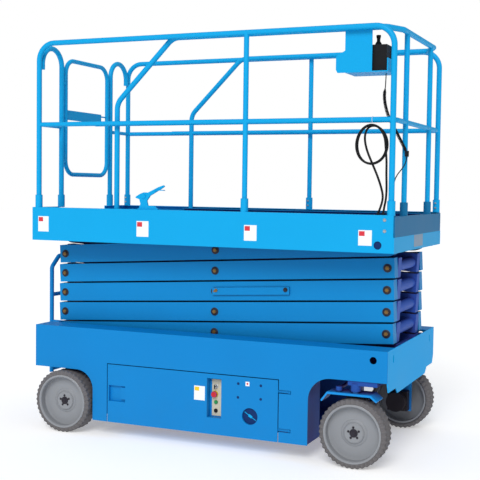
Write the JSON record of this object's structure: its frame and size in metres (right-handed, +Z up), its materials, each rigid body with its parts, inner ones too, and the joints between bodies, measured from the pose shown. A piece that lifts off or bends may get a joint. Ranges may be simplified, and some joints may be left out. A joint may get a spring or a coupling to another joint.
{
  "type": "scissor man lift",
  "caption": "Self-propelled scissor lift with a guarded platform, roll-out deck, rear gate, steered front wheels, swing-out side trays and a rear ladder.",
  "frame": {"origin": "on the floor under the middle of the machine's outline", "axes": "+X forward to the steered wheels, +Y to the left side, +Z up"},
  "size_m": [2.396, 1.174, 2.398],
  "materials": {
    "blue": "gloss",
    "tyre": "matt",
    "rim": "satin",
    "motor": "satin",
    "rod": "polished",
    "battery": "matt",
    "black_plastic": "satin",
    "cable": "matt",
    "panel": "satin"
  },
  "bodies": {
    "chassis": {"chassis_frame": "blue", "skirt_near": "blue", "skirt_far": "blue", "rear_plate": "blue", "front_plate": "blue", "ladder": "blue", "front_axle_beam": "blue", "rear_axle": "motor"},
    "door_near": {"tray_door_near": "blue", "hydraulic_unit": "motor", "ground_controls": "panel"},
    "door_far": {"tray_door_far": "blue", "battery_pack": "battery"},
    "steer_near": {"knuckle_near": "blue", "drive_motor_near": "motor"},
    "steer_far": {"knuckle_far": "blue", "drive_motor_far": "motor"},
    "tie_rod": {"tie_rod": "blue"},
    "wheel_front_near": {"tyre_front_near": "tyre", "rim_front_near": "rim"},
    "wheel_front_far": {"tyre_front_far": "tyre", "rim_front_far": "rim"},
    "wheel_rear_near": {"tyre_rear_near": "tyre", "rim_rear_near": "rim"},
    "wheel_rear_far": {"tyre_rear_far": "tyre", "rim_rear_far": "rim"},
    "outer_1": {"outer_arm_1": "blue"},
    "inner_1": {"inner_arm_1": "blue"},
    "outer_2": {"outer_arm_2": "blue"},
    "inner_2": {"inner_arm_2": "blue"},
    "outer_3": {"outer_arm_3": "blue", "safety_prop": "blue"},
    "inner_3": {"inner_arm_3": "blue"},
    "outer_4": {"outer_arm_4": "blue"},
    "inner_4": {"inner_arm_4": "blue"},
    "outer_5": {"outer_arm_5": "blue"},
    "inner_5": {"inner_arm_5": "blue"},
    "lift_barrel": {"lift_barrel": "blue"},
    "lift_rod": {"lift_rod": "rod"},
    "platform": {"platform_deck": "blue", "toe_boards": "blue", "rail_near": "blue", "rail_far": "blue", "rear_arches": "blue", "lock_pedal": "blue", "cable_glands": "cable", "cable_rise": "cable", "cable_coil": "cable", "cable_drop": "cable"},
    "gate": {"gate": "blue"},
    "extension": {"extension_deck": "blue", "extension_rail_near": "blue", "extension_rail_far": "blue", "extension_front_rail": "blue", "extension_front_board": "blue", "control_holder": "blue", "controller": "black_plastic", "curly_cord": "cable", "cord_connector": "black_plastic", "control_lead": "cable"}
  },
  "joints": [
    {"name": "lift", "type": "hinge", "parent": "chassis", "child": "outer_1", "pos_m": [-1.0055, 0, 0.591], "axis": [0, -1, 0], "range_deg": [0, 55.5]},
    {"name": "cross_1", "type": "hinge", "parent": "outer_1", "child": "inner_1", "pos_m": [0.047, 0, 0.65225], "axis": [0, -1, 0], "range_deg": [-111, 0]},
    {"name": "rear_pin_1", "type": "hinge", "parent": "inner_1", "child": "outer_2", "pos_m": [-1.0055, 0, 0.7135], "axis": [0, -1, 0], "range_deg": [0, 111]},
    {"name": "cross_2", "type": "hinge", "parent": "outer_2", "child": "inner_2", "pos_m": [0.047, 0, 0.77475], "axis": [0, -1, 0], "range_deg": [-111, 0]},
    {"name": "rear_pin_2", "type": "hinge", "parent": "inner_2", "child": "outer_3", "pos_m": [-1.0055, 0, 0.836], "axis": [0, -1, 0], "range_deg": [0, 111]},
    {"name": "cross_3", "type": "hinge", "parent": "outer_3", "child": "inner_3", "pos_m": [0.047, 0, 0.89725], "axis": [0, -1, 0], "range_deg": [-111, 0]},
    {"name": "rear_pin_3", "type": "hinge", "parent": "inner_3", "child": "outer_4", "pos_m": [-1.0055, 0, 0.9585], "axis": [0, -1, 0], "range_deg": [0, 111]},
    {"name": "cross_4", "type": "hinge", "parent": "outer_4", "child": "inner_4", "pos_m": [0.047, 0, 1.01975], "axis": [0, -1, 0], "range_deg": [-111, 0]},
    {"name": "rear_pin_4", "type": "hinge", "parent": "inner_4", "child": "outer_5", "pos_m": [-1.0055, 0, 1.081], "axis": [0, -1, 0], "range_deg": [0, 111]},
    {"name": "cross_5", "type": "hinge", "parent": "outer_5", "child": "inner_5", "pos_m": [0.047, 0, 1.14225], "axis": [0, -1, 0], "range_deg": [-111, 0]},
    {"name": "platform_pin", "type": "hinge", "parent": "inner_5", "child": "platform", "pos_m": [-1.0055, 0, 1.2035], "axis": [0, -1, 0], "range_deg": [0, 55.5]},
    {"name": "barrel_foot", "type": "hinge", "parent": "inner_2", "child": "lift_barrel", "pos_m": [-0.90025, 0, 0.82988], "axis": [0, -1, 0], "range_deg": [0, 118.3]},
    {"name": "rod_slide", "type": "slide", "parent": "lift_barrel", "child": "lift_rod", "axis": [0.9966, 0, 0.0826], "range_m": [0, 0.5626]},
    {"name": "steer", "type": "hinge", "parent": "chassis", "child": "steer_near", "pos_m": [0.9875, -0.5235, 0.45], "axis": [0, 0, 1], "range_deg": [-60, 60]},
    {"name": "steer_far", "type": "hinge", "parent": "chassis", "child": "steer_far", "pos_m": [0.9875, 0.5235, 0.45], "axis": [0, 0, 1], "range_deg": [-60, 60]},
    {"name": "tie_rod_eye", "type": "hinge", "parent": "steer_near", "child": "tie_rod", "pos_m": [0.8925, -0.5235, 0.425], "axis": [0, 0, 1], "range_deg": [-60, 60]},
    {"name": "wheel_front_near", "type": "hinge", "parent": "steer_near", "child": "wheel_front_near", "pos_m": [0.9875, -0.5235, 0.1905], "axis": [0, 1, 0], "continuous": true},
    {"name": "wheel_front_far", "type": "hinge", "parent": "steer_far", "child": "wheel_front_far", "pos_m": [0.9875, 0.5235, 0.1905], "axis": [0, 1, 0], "continuous": true},
    {"name": "wheel_rear_near", "type": "hinge", "parent": "chassis", "child": "wheel_rear_near", "pos_m": [-0.8655, -0.5235, 0.1905], "axis": [0, 1, 0], "continuous": true},
    {"name": "wheel_rear_far", "type": "hinge", "parent": "chassis", "child": "wheel_rear_far", "pos_m": [-0.8655, 0.5235, 0.1905], "axis": [0, 1, 0], "continuous": true},
    {"name": "door_near", "type": "hinge", "parent": "chassis", "child": "door_near", "pos_m": [0.6095, -0.537, 0.27], "axis": [0, 0, 1], "range_deg": [0, 90]},
    {"name": "door_far", "type": "hinge", "parent": "chassis", "child": "door_far", "pos_m": [0.6095, 0.537, 0.27], "axis": [0, 0, -1], "range_deg": [0, 90]},
    {"name": "gate", "type": "hinge", "parent": "platform", "child": "gate", "pos_m": [-1.0525, -0.277, 1.95], "axis": [0, 0, -1], "range_deg": [0, 90]},
    {"name": "extension", "type": "slide", "parent": "platform", "child": "extension", "axis": [1, 0, 0], "range_m": [0, 0.9]}
  ],
  "couplings": [
    {"joint": "cross_1", "follows": "lift", "ratio": -2},
    {"joint": "rear_pin_1", "follows": "lift", "ratio": 2},
    {"joint": "cross_2", "follows": "lift", "ratio": -2},
    {"joint": "rear_pin_2", "follows": "lift", "ratio": 2},
    {"joint": "cross_3", "follows": "lift", "ratio": -2},
    {"joint": "rear_pin_3", "follows": "lift", "ratio": 2},
    {"joint": "cross_4", "follows": "lift", "ratio": -2},
    {"joint": "rear_pin_4", "follows": "lift", "ratio": 2},
    {"joint": "cross_5", "follows": "lift", "ratio": -2},
    {"joint": "platform_pin", "follows": "lift", "ratio": 1},
    {"joint": "barrel_foot", "follows": "lift", "ratio": 2.1216},
    {"joint": "rod_slide", "follows": "lift", "m_per_rad": 0.57873},
    {"joint": "steer_far", "follows": "steer", "ratio": 1},
    {"joint": "tie_rod_eye", "follows": "steer", "ratio": -1}
  ]
}
